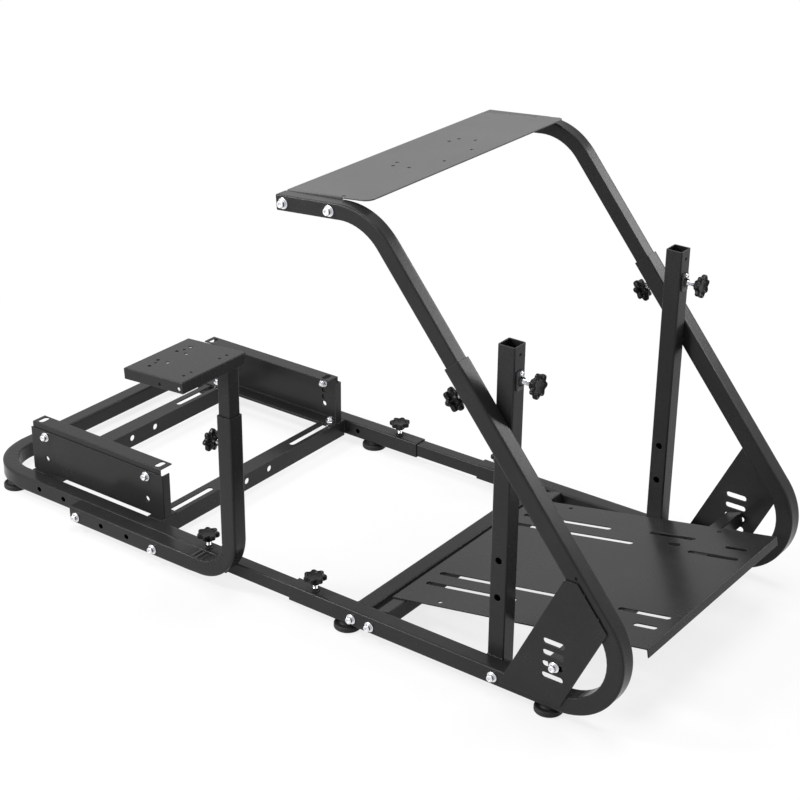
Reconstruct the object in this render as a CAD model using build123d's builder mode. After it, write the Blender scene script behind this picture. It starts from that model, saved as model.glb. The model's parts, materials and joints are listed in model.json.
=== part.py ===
from build123d import *
import os
from math import cos, radians, sin, tan

os.makedirs("parts", exist_ok=True)

# Square tube and sheet stock, in millimetres
tube = 30.0
tube_wall = 2.0
tube_corner = 2.5
slide_tube = 25.0
slide_wall = 1.5
slide_corner = 2.0
sheet = 2.0
gusset_sheet = 3.0
fold_radius = 1.8
inner_corner = 0.5

# Clearances
seat_gap = 0.2
screw_gap = 0.3

# Width and height of the frame
frame_half_width = 290.5
foot_height = 15.0
foot_radius = 23.5
foot_edge = 1.5
foot_pad_height = 10.0
foot_neck_radius = 13.0
rear_foot_xs = (-44.0, 347.0)
front_foot_xs = (-846.0, -411.0)

# Rear frame, with x counted from the front edge of the seat plate
rear_rail_front_x = -157.5
rear_bend_x = 369.3
rear_bend_radius = 95.0
diagonal_angle = 50.7
diagonal_length = 446.0

# Uprights inside the rear rails
post_x = 236.5
post_top = 572.0
post_hole_heights = (151.6, 216.6)
post_hole_radius = 6.0
post_lug_length = 34.0
post_lug_sheet = 4.0

# Tubes across the rear frame
front_cross_x = -19.5
pivot_x = 19.0
pivot_drop = 12.9
seat_angle = 10.15
seat_rear_tube_run = 350.0

# Gussets between rail and diagonal
gusset_lap = 18.0
gusset_head = 113.9
gusset_foot_x = 265.5
gusset_side_angle = 64.8
gusset_lap_shift = 14.0
gusset_crown_length = 85.0
gusset_corner = 4.0
gusset_slot_length = 38.0
gusset_slot_width = 10.0
gusset_slot_pitch = 20.0
gusset_slots_above = 2
gusset_slots_below = 1
gusset_slot_shift = -3.0

# Seat plate
seat_half_width = 213.5
seat_front_run = 15.5
seat_length = 482.0
seat_lip = 15.0
seat_slot_width = 10.5
seat_front_slots = ((22.0, 268.0, 109.0), (22.0, 202.0, 148.0))
seat_rear_slots = ((371.0, 464.0, 112.0), (420.0, 461.0, 149.0), (274.0, 360.0, 158.0))
seat_short_slot = (325.5, 347.5, 129.5)
seat_short_slot_width = 13.0
seat_hole_runs = (88.0, 383.0)
seat_hole_y = 200.0
seat_hole_radius = 4.0

# Tubes that join the two frames
link_length = 300.0
link_insertion = 80.0
frame_gap = 141.5

# Front frame
front_bar_x = -901.6
front_bend_radius = 88.0
middle_crossbar_x = -784.5
rear_crossbar_x = -489.2
crossbar_slot_start = 112.0
crossbar_slot_end = 240.0
crossbar_slot_width = 11.5
crossbar_leg = 34.0
crossbar_sheet = 2.0
crossbar_hole_y = 32.0
crossbar_hole_radius = 6.0
rail_hole_pitch = 63.0
rail_hole_last_x = -441.0
rail_hole_count = 6
rail_hole_radius = 5.2

# Pedal brackets
pedal_web_y = 252.5
pedal_front_x = -807.0
pedal_length = 332.0
pedal_web_height = 85.0
pedal_foot_width = 32.0
pedal_end_width = 18.0
pedal_top_height = 141.0
pedal_upper_height = 86.0
pedal_upper_shorter = 10.0
pedal_upper_shift = -2.0
pedal_top_width = 30.0
pedal_hole_inset = 38.5
pedal_hole_shift = -2.0
pedal_hole_radius = 5.4
pedal_bolt_drop = 23.5
pedal_hole_pitch = 14.7
pedal_hole_steps = 3
pedal_slot_inset = 15.5
pedal_slot_spacing = 294.5
pedal_slot_length = 22.0
pedal_slot_width = 12.0
pedal_slot_offset = 18.5

# Shifter arm, post and plate
arm_front_x = -645.0
arm_rear_x = -248.0
arm_bend_radius = 71.0
arm_top = 333.6
arm_hole_count = 4
shifter_post_length = 260.0
shifter_plate_top = 438.0
shifter_plate_tilt = 3.7
shifter_plate_depth = 126.0
shifter_plate_width = 149.0
shifter_plate_side_overhang = 15.0
shifter_flange = 19.0
shifter_corner = 14.0
shifter_hole_radius = 3.5
shifter_hole_pairs = ((100.6, 44.6), (80.2, 43.6), (95.0, 95.6))
shifter_small_hole_radius = 2.6
shifter_small_hole_pairs = ((95.2, 66.6), (18.5, 66.4), (18.5, 100.4))
shifter_side_hole_drop = 12.0
shifter_side_hole_insets = (8.7, 48.7)

# Wheel deck
deck_corner_run = 251.0
deck_tilt = 4.6
deck_front_length = 170.0
deck_bend_radius = 97.0
deck_insertion = 160.0
deck_plate_tilt = 6.2
deck_plate_depth = 163.0
deck_plate_setback = 2.0
deck_plate_raise = 1.0
deck_flange = 22.0
deck_flange_length = 106.0
deck_relief_length = 6.0
deck_relief_depth = 5.0
deck_ear = 5.5
deck_corner_radius = 14.0
deck_hole_radius = 3.5
deck_holes = ((65.4, 70.5), (71.6, 89.5), (103.3, 90.6), (133.2, 37.4))

# Star knobs and their clamp screws
knob_radius = 20.0
knob_lobes = 7
knob_lobe_radius = 5.5
knob_height = 14.0
knob_hub_radius = 9.0
knob_hub_height = 8.0
knob_standoff = 13.0
screw_radius = 4.0
screw_boss_radius = 6.5
screw_boss_height = 5.0
clamp_inset = 45.0
front_clamp_inset = 50.0
post_clamp_inset = 55.0
arm_clamp_inset = 58.0
end_hole_radius = 3.0
end_hole_inset = 15.0

# Clamp plates on the posts
clamp_plate_length = 30.0
clamp_plate_width = 17.0
clamp_plate_sheet = 3.0
clamp_bolt_rise = 11.0
clamp_bolt_radius = 2.5

# Heights and places that follow from the sizes above
rail_z = foot_height + tube / 2
rail_top = foot_height + tube
rail_y = frame_half_width - tube / 2
rail_inner_y = frame_half_width - tube
turn = 180.0 - diagonal_angle
diagonal = Vector(-cos(radians(diagonal_angle)), 0, sin(radians(diagonal_angle)))
under_diagonal = Vector(-sin(radians(diagonal_angle)), 0, -cos(radians(diagonal_angle)))
bend_tangent = rear_bend_radius * tan(radians(turn / 2))
bend_corner = Vector(rear_bend_x + bend_tangent, 0, rail_z)
sleeve_end = bend_corner + diagonal * (bend_tangent + diagonal_length)
under_edge = sleeve_end + under_diagonal * (tube / 2)
front_frame_rear_x = rear_rail_front_x - frame_gap
shifter_y = -(frame_half_width + tube / 2)
shifter_x = arm_rear_x - tube / 2
middle_x = (front_bar_x - tube / 2 + rear_bend_x + rear_bend_radius + tube / 2) / 2
plate_left = shifter_y + slide_tube / 2 + shifter_plate_side_overhang - shifter_plate_width
middle_y = (plate_left + rail_y + foot_radius) / 2
sides = (("left", -1), ("right", 1))


def save(piece, name):
    """Puts the origin on the floor under the middle of the stand and writes the piece."""
    placed = Pos(-middle_x, -middle_y, 0) * piece
    placed.label = name
    export_step(placed, f"parts/{name}.step")


def tube_section(size, corner, wall):
    """Section of a square tube with rounded corners, for the sketch that is open."""
    RectangleRounded(size, size, corner)
    RectangleRounded(size - 2 * wall, size - 2 * wall, max(corner - wall, inner_corner), mode=Mode.SUBTRACT)


def across(x, y, z):
    """Plane that looks along +Y at a point."""
    return Plane(origin=(x, y, z), x_dir=(1, 0, 0), z_dir=(0, -1, 0))


# Side frames: rail, bend and diagonal in one tube
for side, hand in sides:
    with BuildPart() as side_frame:
        start = (rear_rail_front_x, hand * rail_y, rail_z)
        with BuildLine(Plane.XZ.offset(-hand * rail_y)):
            FilletPolyline(
                (rear_rail_front_x, rail_z),
                (bend_corner.X, bend_corner.Z),
                (sleeve_end.X, sleeve_end.Z),
                radius=rear_bend_radius,
            )
        with BuildSketch(Plane(origin=start, x_dir=(0, 1, 0), z_dir=(1, 0, 0))):
            tube_section(tube, tube_corner, tube_wall)
        sweep()
        screw_clearance = screw_radius + screw_gap
        with BuildSketch(Plane.XY.offset(rail_top)):
            with Locations((rear_rail_front_x + clamp_inset, hand * rail_y)):
                Circle(screw_clearance)
            with Locations((rear_rail_front_x + end_hole_inset, hand * rail_y)):
                Circle(end_hole_radius)
        extrude(amount=-2 * tube_wall, mode=Mode.SUBTRACT)
        clamp_point = under_edge - diagonal * clamp_inset + Vector(0, hand * rail_y, 0)
        with BuildSketch(Plane(origin=clamp_point, x_dir=(0, 1, 0), z_dir=under_diagonal)):
            Circle(screw_clearance)
        extrude(amount=-2 * tube_wall, mode=Mode.SUBTRACT)
    save(side_frame.part, f"side_frame_{side}")

# Seat tubes: the plate lies on the pivot tube and on the rear tube
seat_run = Vector(cos(radians(seat_angle)), 0, sin(radians(seat_angle)))
seat_up = Vector(-sin(radians(seat_angle)), 0, cos(radians(seat_angle)))
pivot = Vector(pivot_x, 0, rail_top - pivot_drop)
seat_rear = pivot + seat_run * seat_rear_tube_run
seat_datum = pivot + seat_up * (slide_tube / 2 + sheet) - seat_run * seat_front_run
seat_plane = Plane(origin=seat_datum, x_dir=seat_run, z_dir=seat_up)

# Gussets: a slanted plate with one row of slots, level with the seat's rear tube
for side, hand in sides:
    slope = 1 / tan(radians(gusset_side_angle))
    gusset_top_z = seat_rear.Z + gusset_slots_above * gusset_slot_pitch + gusset_head
    gusset_top = under_edge - diagonal * ((under_edge.Z - gusset_top_z) / diagonal.Z)
    low_z = rail_top - gusset_lap
    lap = -under_diagonal * gusset_lap
    upper = gusset_top - diagonal * gusset_lap_shift + lap
    rear_top = upper - diagonal * gusset_crown_length
    with BuildPart() as gusset:
        with BuildSketch(Plane.XZ.offset(-hand * frame_half_width)) as outline:
            with BuildLine():
                Polyline(
                    (gusset_foot_x, low_z),
                    (gusset_top.X, gusset_top.Z),
                    (upper.X, upper.Z),
                    (rear_top.X, rear_top.Z),
                    (rear_top.X - (rear_top.Z - low_z) * slope, low_z),
                    close=True,
                )
            make_face()
            fillet(outline.vertices(), gusset_corner)
            for step in range(-gusset_slots_below, gusset_slots_above + 1):
                with Locations((seat_rear.X + gusset_slot_shift, seat_rear.Z + step * gusset_slot_pitch)):
                    SlotOverall(gusset_slot_length, gusset_slot_width, mode=Mode.SUBTRACT)
        extrude(amount=-hand * gusset_sheet)
    save(gusset.part, f"gusset_{side}")

# Posts: open square tubes that stand against the rails' inner faces
for side, hand in sides:
    post_y = hand * (rail_inner_y - tube / 2)
    with BuildPart() as post:
        with BuildSketch(Plane.XY.offset(foot_height)):
            with Locations((post_x, post_y)):
                tube_section(tube, tube_corner, tube_wall)
        extrude(amount=post_top - foot_height)
        for height in post_hole_heights:
            with BuildSketch(across(post_x, post_y + tube, height)):
                Circle(post_hole_radius)
            extrude(amount=2 * tube, mode=Mode.SUBTRACT)
        rear_face = Plane(origin=(post_x + tube / 2, post_y, 0), x_dir=(0, 1, 0), z_dir=(1, 0, 0))
        with BuildSketch(rear_face):
            with Locations((0, post_top - end_hole_inset)):
                Circle(end_hole_radius)
            with Locations((0, post_top - post_clamp_inset)):
                Circle(screw_radius + screw_gap)
        extrude(amount=-2 * tube_wall, mode=Mode.SUBTRACT)
    save(post.part, f"post_{side}")

# Lugs that bolt the posts' feet to the rails
for side, hand in sides:
    lug_x = post_x + tube / 2 + post_lug_length / 2
    with BuildPart() as post_lug:
        with BuildSketch(across(lug_x, hand * rail_inner_y, rail_z)):
            RectangleRounded(post_lug_length, tube, fold_radius)
        extrude(amount=hand * post_lug_sheet)
    save(post_lug.part, f"post_lug_{side}")

# Clamp plates on the posts' rear faces
for side, hand in sides:
    post_y = hand * (rail_inner_y - tube / 2)
    clamp_z = post_top - post_clamp_inset
    face = Plane(origin=(post_x + tube / 2, post_y, clamp_z), x_dir=(0, 1, 0), z_dir=(1, 0, 0))
    with BuildPart() as post_clamp:
        with BuildSketch(face):
            RectangleRounded(clamp_plate_width, clamp_plate_length, fold_radius)
            Circle(screw_radius + screw_gap, mode=Mode.SUBTRACT)
            with Locations((0, clamp_bolt_rise)):
                Circle(clamp_bolt_radius, mode=Mode.SUBTRACT)
        extrude(amount=clamp_plate_sheet)
    save(post_clamp.part, f"post_clamp_{side}")

# Tube across the front of the rear frame
with BuildPart() as front_cross_tube:
    with BuildSketch(Plane.XZ.offset(-rail_inner_y)):
        with Locations((front_cross_x, rail_z)):
            tube_section(tube, tube_corner, tube_wall)
    extrude(amount=2 * rail_inner_y)
save(front_cross_tube.part, "front_cross_tube")

# Pivot tube and rear tube under the seat plate, turned with the plate
pivot_plane = Plane(origin=pivot + Vector(0, rail_inner_y, 0), x_dir=seat_run, z_dir=(0, -1, 0))
with BuildPart() as seat_pivot_tube:
    with BuildSketch(pivot_plane):
        tube_section(slide_tube, slide_corner, slide_wall)
    extrude(amount=2 * rail_inner_y)
save(seat_pivot_tube.part, "seat_pivot_tube")

rear_plane = Plane(origin=seat_rear + Vector(0, frame_half_width, 0), x_dir=seat_run, z_dir=(0, -1, 0))
with BuildPart() as seat_rear_tube:
    with BuildSketch(rear_plane):
        tube_section(slide_tube, slide_corner, slide_wall)
    extrude(amount=2 * frame_half_width)
save(seat_rear_tube.part, "seat_rear_tube")

# Seat plate with its lip folded down at the rear
section_plane = Plane(origin=seat_datum, x_dir=seat_run, z_dir=(0, -1, 0))
with BuildPart() as seat_plate:
    with BuildSketch(section_plane):
        with BuildLine():
            Polyline(
                (0, 0),
                (seat_length, 0),
                (seat_length, -seat_lip),
                (seat_length - sheet, -seat_lip),
                (seat_length - sheet, -sheet),
                (0, -sheet),
                close=True,
            )
        make_face()
    extrude(amount=seat_half_width, both=True)
    top_edges = seat_plate.edges().filter_by(Axis.Y)
    fold = top_edges.sort_by_distance(seat_datum + seat_run * seat_length)[0]
    fillet(fold, fold_radius)
    with BuildSketch(seat_plane):
        for hand in (-1, 1):
            for begin, end, y in seat_front_slots + seat_rear_slots:
                with Locations(((begin + end) / 2, hand * y)):
                    SlotOverall(end - begin, seat_slot_width)
            begin, end, y = seat_short_slot
            with Locations(((begin + end) / 2, hand * y)):
                SlotOverall(end - begin, seat_short_slot_width)
            for run in seat_hole_runs:
                with Locations((run, hand * seat_hole_y)):
                    Circle(seat_hole_radius)
    extrude(amount=-2 * sheet, mode=Mode.SUBTRACT)
save(seat_plate.part, "seat_plate")

# Round rubber feet: a flat pad with a neck up to the rail
foot_sets = (("rear_feet", rear_foot_xs), ("front_feet", front_foot_xs))
for name, foot_xs in foot_sets:
    for side, hand in sides:
        with BuildPart() as feet:
            for foot_x in foot_xs:
                foot_plane = Plane(origin=(foot_x, hand * rail_y, 0), x_dir=(1, 0, 0), z_dir=(0, -1, 0))
                with BuildSketch(foot_plane):
                    with BuildLine():
                        Polyline(
                            (0, 0),
                            (foot_radius - foot_edge, 0),
                            (foot_radius, foot_edge),
                            (foot_radius, foot_pad_height - foot_edge),
                            (foot_radius - foot_edge, foot_pad_height),
                            (foot_neck_radius, foot_pad_height),
                            (foot_neck_radius, foot_height),
                            (0, foot_height),
                            close=True,
                        )
                    make_face()
                revolve(axis=Axis((foot_x, hand * rail_y, 0), (0, 0, 1)))
        save(feet.part, f"{name}_{side}")

# Inner tubes that join the frames and slide in both
for side, hand in sides:
    link_rear_x = rear_rail_front_x + link_insertion
    start = (link_rear_x, hand * rail_y, rail_z)
    with BuildPart() as slide_link:
        with BuildSketch(Plane(origin=start, x_dir=(0, 1, 0), z_dir=(-1, 0, 0))):
            tube_section(slide_tube, slide_corner, slide_wall)
        extrude(amount=link_length)
    save(slide_link.part, f"slide_tube_{side}")

# Front loop: two rails and the front bar in one bent tube
with BuildPart() as front_loop:
    with BuildLine(Plane.XY.offset(rail_z)):
        FilletPolyline(
            (front_frame_rear_x, -rail_y),
            (front_bar_x, -rail_y),
            (front_bar_x, rail_y),
            (front_frame_rear_x, rail_y),
            radius=front_bend_radius,
        )
    loop_start = (front_frame_rear_x, -rail_y, rail_z)
    with BuildSketch(Plane(origin=loop_start, x_dir=(0, 1, 0), z_dir=(-1, 0, 0))):
        tube_section(tube, tube_corner, tube_wall)
    sweep()
    with BuildSketch(Plane.XY.offset(rail_top)):
        for hand in (-1, 1):
            with Locations((front_frame_rear_x - front_clamp_inset, hand * rail_y)):
                Circle(screw_radius + screw_gap)
            with Locations((front_frame_rear_x - end_hole_inset, hand * rail_y)):
                Circle(end_hole_radius)
    extrude(amount=-2 * tube_wall, mode=Mode.SUBTRACT)
    rail_holes_x = rail_hole_last_x - rail_hole_pitch * (rail_hole_count - 1) / 2
    for hand in (-1, 1):
        with BuildSketch(across(rail_holes_x, hand * rail_y + tube, rail_z)):
            with GridLocations(rail_hole_pitch, 1, rail_hole_count, 1):
                Circle(rail_hole_radius)
        extrude(amount=2 * tube, mode=Mode.SUBTRACT)
save(front_loop.part, "front_loop")

# Crossbars between the front rails: angles, slotted on top for the pedal brackets
for name, bar_x in (("middle_crossbar", middle_crossbar_x), ("rear_crossbar", rear_crossbar_x)):
    bar_face = bar_x + tube / 2
    with BuildPart() as crossbar:
        with BuildSketch(Plane.XZ.offset(-rail_inner_y)) as angle:
            with Locations((bar_face, rail_top)):
                Rectangle(crossbar_leg, crossbar_sheet, align=(Align.MAX, Align.MAX))
                Rectangle(crossbar_sheet, crossbar_leg, align=(Align.MAX, Align.MAX))
            outer_corner = angle.vertices().sort_by_distance(Vector(bar_face, 0, rail_top))[0]
            fillet(outer_corner, fold_radius)
        extrude(amount=2 * rail_inner_y)
        slot_middle = (crossbar_slot_start + crossbar_slot_end) / 2
        with BuildSketch(Plane.XY.offset(rail_top)):
            with Locations((bar_x, -slot_middle), (bar_x, slot_middle)):
                SlotOverall(crossbar_slot_end - crossbar_slot_start, crossbar_slot_width, rotation=90)
        extrude(amount=-tube / 2, mode=Mode.SUBTRACT)
        with BuildSketch(Plane(origin=(bar_x + tube, 0, rail_z), x_dir=(0, 1, 0), z_dir=(1, 0, 0))):
            with GridLocations(2 * crossbar_hole_y, 1, 2, 1):
                Circle(crossbar_hole_radius)
        extrude(amount=-tube, mode=Mode.SUBTRACT)
    save(crossbar.part, name)

# Pedal brackets: a lower angle on the crossbars and an upper angle bolted inside it
pedal_middle_x = pedal_front_x + pedal_length / 2
pedal_front_slot_x = pedal_front_x + pedal_slot_inset
pedal_hole_span = pedal_length - 2 * pedal_hole_inset
pedal_bolt_x = pedal_middle_x + pedal_hole_shift
pedal_bolt_z = pedal_top_height - pedal_bolt_drop
for side, hand in sides:
    web_y = hand * pedal_web_y
    with BuildPart() as lower_bracket:
        with BuildSketch(Plane.XY.offset(rail_top)):
            with Locations((pedal_middle_x, hand * (pedal_web_y - pedal_foot_width / 2))):
                Rectangle(pedal_length, pedal_foot_width)
        extrude(amount=sheet)
        with BuildSketch(Plane.XY.offset(rail_top)):
            with Locations((pedal_middle_x, hand * (pedal_web_y - sheet / 2))):
                Rectangle(pedal_length, sheet)
            end_x = pedal_front_x + pedal_length - sheet / 2
            with Locations((end_x, hand * (pedal_web_y - pedal_end_width / 2))):
                Rectangle(sheet, pedal_end_width)
        extrude(amount=pedal_web_height)
        web_corner = Vector(pedal_front_x + pedal_length, web_y, rail_top + pedal_web_height / 2)
        end_fold = lower_bracket.edges().filter_by(Axis.Z).sort_by_distance(web_corner)[0]
        fillet(end_fold, fold_radius)
        with BuildSketch(across(pedal_bolt_x, web_y + tube, pedal_bolt_z)):
            with GridLocations(pedal_hole_span, 1, 2, 1):
                with Locations((0, -pedal_hole_steps * pedal_hole_pitch)):
                    Circle(pedal_hole_radius)
        extrude(amount=2 * tube, mode=Mode.SUBTRACT)
    save(lower_bracket.part, f"pedal_lower_bracket_{side}")

    upper_y = hand * (pedal_web_y - sheet - seat_gap)
    upper_x = pedal_middle_x + pedal_upper_shift
    upper_length = pedal_length - pedal_upper_shorter
    with BuildPart() as upper_bracket:
        with BuildSketch(Plane.XY.offset(pedal_top_height)):
            with Locations((upper_x, upper_y - hand * pedal_top_width / 2)):
                Rectangle(upper_length, pedal_top_width)
            for slot_x in (pedal_front_slot_x, pedal_front_slot_x + pedal_slot_spacing):
                with Locations((slot_x, hand * (pedal_web_y - pedal_slot_offset))):
                    SlotOverall(pedal_slot_length, pedal_slot_width, rotation=90, mode=Mode.SUBTRACT)
        extrude(amount=-sheet)
        with BuildSketch(Plane.XY.offset(pedal_top_height)):
            with Locations((upper_x, upper_y - hand * sheet / 2)):
                Rectangle(upper_length, sheet)
        extrude(amount=-pedal_upper_height)
        fold_point = Vector(upper_x, upper_y, pedal_top_height)
        top_fold = upper_bracket.edges().filter_by(Axis.X).sort_by_distance(fold_point)[0]
        fillet(top_fold, fold_radius)
        with BuildSketch(across(pedal_bolt_x, web_y + tube, pedal_bolt_z)):
            for step in range(1, pedal_hole_steps + 1):
                with Locations((0, -step * pedal_hole_pitch)):
                    with GridLocations(pedal_hole_span, 1, 2, 1):
                        Circle(pedal_hole_radius)
        extrude(amount=2 * tube, mode=Mode.SUBTRACT)
    save(upper_bracket.part, f"pedal_upper_bracket_{side}")

# Shifter arm: along the left rail, then up into an open sleeve
with BuildPart() as shifter_arm:
    with BuildLine(Plane.XZ.offset(-shifter_y)):
        FilletPolyline(
            (arm_front_x, rail_z),
            (shifter_x, rail_z),
            (shifter_x, arm_top),
            radius=arm_bend_radius,
        )
    arm_start = (arm_front_x, shifter_y, rail_z)
    with BuildSketch(Plane(origin=arm_start, x_dir=(0, 1, 0), z_dir=(1, 0, 0))):
        tube_section(tube, tube_corner, tube_wall)
    sweep()
    arm_clamp = (shifter_x - tube / 2, shifter_y, arm_top - arm_clamp_inset)
    with BuildSketch(Plane(origin=arm_clamp, x_dir=(0, 1, 0), z_dir=(-1, 0, 0))):
        Circle(screw_radius + screw_gap)
    extrude(amount=-2 * tube_wall, mode=Mode.SUBTRACT)
    arm_holes_x = rail_hole_last_x - rail_hole_pitch * (arm_hole_count - 1) / 2
    with BuildSketch(across(arm_holes_x, shifter_y + tube, rail_z)):
        with GridLocations(rail_hole_pitch, 1, arm_hole_count, 1):
            Circle(rail_hole_radius)
    extrude(amount=2 * tube, mode=Mode.SUBTRACT)
save(shifter_arm.part, "shifter_arm")

# Shifter plate: a tray turned down, open towards the driver and tilted a little
plate_rear_x = shifter_x + slide_tube / 2 + seat_gap + sheet
plate_middle_y = plate_left + shifter_plate_width / 2
plate_tilt = radians(shifter_plate_tilt)
plate_run = Vector(-cos(plate_tilt), 0, -sin(plate_tilt))
plate_up = Vector(-sin(plate_tilt), 0, cos(plate_tilt))
plate_rear = Vector(plate_rear_x, plate_middle_y, shifter_plate_top)
plate_plane = Plane(origin=plate_rear, x_dir=plate_run, z_dir=plate_up)
plate_side = shifter_plate_width / 2
with BuildPart() as shifter_plate:
    with BuildSketch(plate_plane):
        with Locations((shifter_plate_depth / 2, 0)):
            Rectangle(shifter_plate_depth, shifter_plate_width)
    extrude(amount=-sheet)
    with BuildSketch(plate_plane):
        with Locations((shifter_plate_depth / 2, plate_side - sheet / 2)):
            Rectangle(shifter_plate_depth, sheet)
    extrude(amount=-shifter_flange)
    for run in (0, shifter_plate_depth - sheet):
        flange_plane = Plane(origin=plate_rear + plate_run * run, x_dir=(0, 1, 0), z_dir=-plate_run)
        with BuildSketch(flange_plane) as flange:
            with Locations((0, -shifter_flange / 2)):
                Rectangle(shifter_plate_width, shifter_flange)
            low_corners = flange.vertices().group_by(Axis.Y)[0]
            fillet(low_corners.sort_by(Axis.X)[-1], shifter_corner)
        extrude(amount=-sheet)
    top_face = shifter_plate.faces().sort_by_distance(plate_rear + plate_run * (shifter_plate_depth / 2))[0]
    open_edge = top_face.edges().sort_by(Axis.Y)[-1]
    fillet(top_face.edges() - [open_edge], fold_radius)
    with BuildSketch(plate_plane):
        for inset, spacing in shifter_hole_pairs:
            with Locations((inset, -spacing / 2), (inset, spacing / 2)):
                Circle(shifter_hole_radius)
        for inset, spacing in shifter_small_hole_pairs:
            with Locations((inset, -spacing / 2), (inset, spacing / 2)):
                Circle(shifter_small_hole_radius)
    extrude(amount=-2 * sheet, mode=Mode.SUBTRACT)
    side_point = plate_rear - Vector(0, plate_side, 0)
    with BuildSketch(Plane(origin=side_point, x_dir=plate_run, z_dir=(0, -1, 0))):
        for inset in shifter_side_hole_insets:
            with Locations((inset, shifter_side_hole_drop)):
                Circle(shifter_hole_radius)
    extrude(amount=-2 * sheet, mode=Mode.SUBTRACT)
save(shifter_plate.part, "shifter_plate")

# Shifter post, sliding in the arm's sleeve, its head cut to the plate's tilt
with BuildPart() as shifter_post:
    with BuildSketch(Plane.XY.offset(shifter_plate_top)):
        with Locations((shifter_x, shifter_y)):
            tube_section(slide_tube, slide_corner, slide_wall)
    extrude(amount=-shifter_post_length)
    split(bisect_by=plate_plane.offset(-sheet), keep=Keep.BOTTOM)
save(shifter_post.part, "shifter_post")

# Wheel deck arms: inner tubes out of the diagonals, bent forwards
deck_front = Vector(-cos(radians(deck_tilt)), 0, -sin(radians(deck_tilt)))
deck_up = Vector(-sin(radians(deck_tilt)), 0, cos(radians(deck_tilt)))
deck_corner = sleeve_end + diagonal * deck_corner_run
deck_end = deck_corner + deck_front * deck_front_length
deck_foot = sleeve_end - diagonal * deck_insertion
for side, hand in sides:
    with BuildPart() as wheel_arm:
        with BuildLine(Plane.XZ.offset(-hand * rail_y)):
            FilletPolyline(
                (deck_foot.X, deck_foot.Z),
                (deck_corner.X, deck_corner.Z),
                (deck_end.X, deck_end.Z),
                radius=deck_bend_radius,
            )
        foot_point = deck_foot + Vector(0, hand * rail_y, 0)
        with BuildSketch(Plane(origin=foot_point, x_dir=(0, 1, 0), z_dir=diagonal)):
            tube_section(slide_tube, slide_corner, slide_wall)
        sweep()
    save(wheel_arm.part, f"wheel_arm_{side}")

# Wheel plate between the arms, with a flange folded down along each and ears behind the flanges
deck_half_width = rail_y - slide_tube / 2 - seat_gap
deck_head = deck_end + deck_up * (slide_tube / 2 + deck_plate_raise) - deck_front * deck_plate_setback
plate_back = Vector(cos(radians(deck_plate_tilt)), 0, sin(radians(deck_plate_tilt)))
plate_top = Vector(-sin(radians(deck_plate_tilt)), 0, cos(radians(deck_plate_tilt)))
deck_plane = Plane(origin=deck_head, x_dir=plate_back, z_dir=plate_top)
ear_start = deck_flange_length + deck_relief_length
with BuildPart() as wheel_plate:
    with BuildSketch(deck_plane) as deck_outline:
        with Locations((deck_plate_depth / 2, 0)):
            Rectangle(deck_plate_depth, 2 * deck_half_width)
        with Locations(((deck_plate_depth + ear_start) / 2, 0)):
            Rectangle(deck_plate_depth - ear_start, 2 * (deck_half_width + deck_ear))
        for hand in (-1, 1):
            with Locations((deck_flange_length + deck_relief_length / 2, hand * deck_half_width)):
                Rectangle(deck_relief_length, 2 * deck_relief_depth, mode=Mode.SUBTRACT)
        rear_corners = deck_outline.vertices().group_by(Axis.X)[-1]
        fillet(rear_corners, deck_corner_radius)
        for run, y in deck_holes:
            with Locations((run, -y), (run, y)):
                Circle(deck_hole_radius, mode=Mode.SUBTRACT)
    extrude(amount=-sheet)
    with BuildSketch(deck_plane):
        for hand in (-1, 1):
            with Locations((deck_flange_length / 2, hand * (deck_half_width - sheet / 2))):
                Rectangle(deck_flange_length, sheet)
    extrude(amount=-deck_flange)
    for hand in (-1, 1):
        fold_point = deck_head + plate_back * (deck_flange_length / 2) + Vector(0, hand * deck_half_width, 0)
        fillet(wheel_plate.edges().sort_by_distance(fold_point)[0], fold_radius)
save(wheel_plate.part, "wheel_plate")


def star_knob(plane):
    """Star knob that stands off the plane."""
    base = plane.offset(knob_standoff)
    with BuildPart() as knob:
        with BuildSketch(base):
            Circle(knob_hub_radius)
        extrude(amount=knob_hub_height)
        with BuildSketch(base.offset(knob_hub_height)):
            Circle(knob_radius - knob_lobe_radius)
            with PolarLocations(knob_radius - knob_lobe_radius, knob_lobes):
                Circle(knob_lobe_radius)
        extrude(amount=knob_height)
    return knob.part


def clamp_screw(plane, reach):
    """Screw of a star knob with its boss on the plane, reaching behind it."""
    with BuildPart() as screw:
        with BuildSketch(plane.offset(-reach)):
            Circle(screw_radius)
        extrude(amount=reach + knob_standoff)
        with BuildSketch(plane):
            Circle(screw_boss_radius)
        extrude(amount=screw_boss_height)
    return screw.part


# Planes of the clamps: the tube's face, looking outwards
tube_reach = (tube - slide_tube) / 2 - seat_gap
rail_clamps = []
height_clamps = []
post_clamps = []
front_clamps = []
for side, hand in sides:
    rail_clamp_x = rear_rail_front_x + clamp_inset
    front_clamp_x = front_frame_rear_x - front_clamp_inset
    height_point = under_edge - diagonal * clamp_inset + Vector(0, hand * rail_y, 0)
    post_face = post_x + tube / 2 + clamp_plate_sheet
    post_point = (post_face, hand * (rail_inner_y - tube / 2), post_top - post_clamp_inset)
    rail_clamps.append((side, Plane((rail_clamp_x, hand * rail_y, rail_top))))
    front_clamps.append((side, Plane((front_clamp_x, hand * rail_y, rail_top))))
    height_clamps.append((side, Plane(height_point, x_dir=(0, 1, 0), z_dir=under_diagonal)))
    post_clamps.append((side, Plane(post_point, x_dir=(0, 1, 0), z_dir=(1, 0, 0))))
shifter_clamp = Plane(arm_clamp, x_dir=(0, 1, 0), z_dir=(-1, 0, 0))

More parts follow.
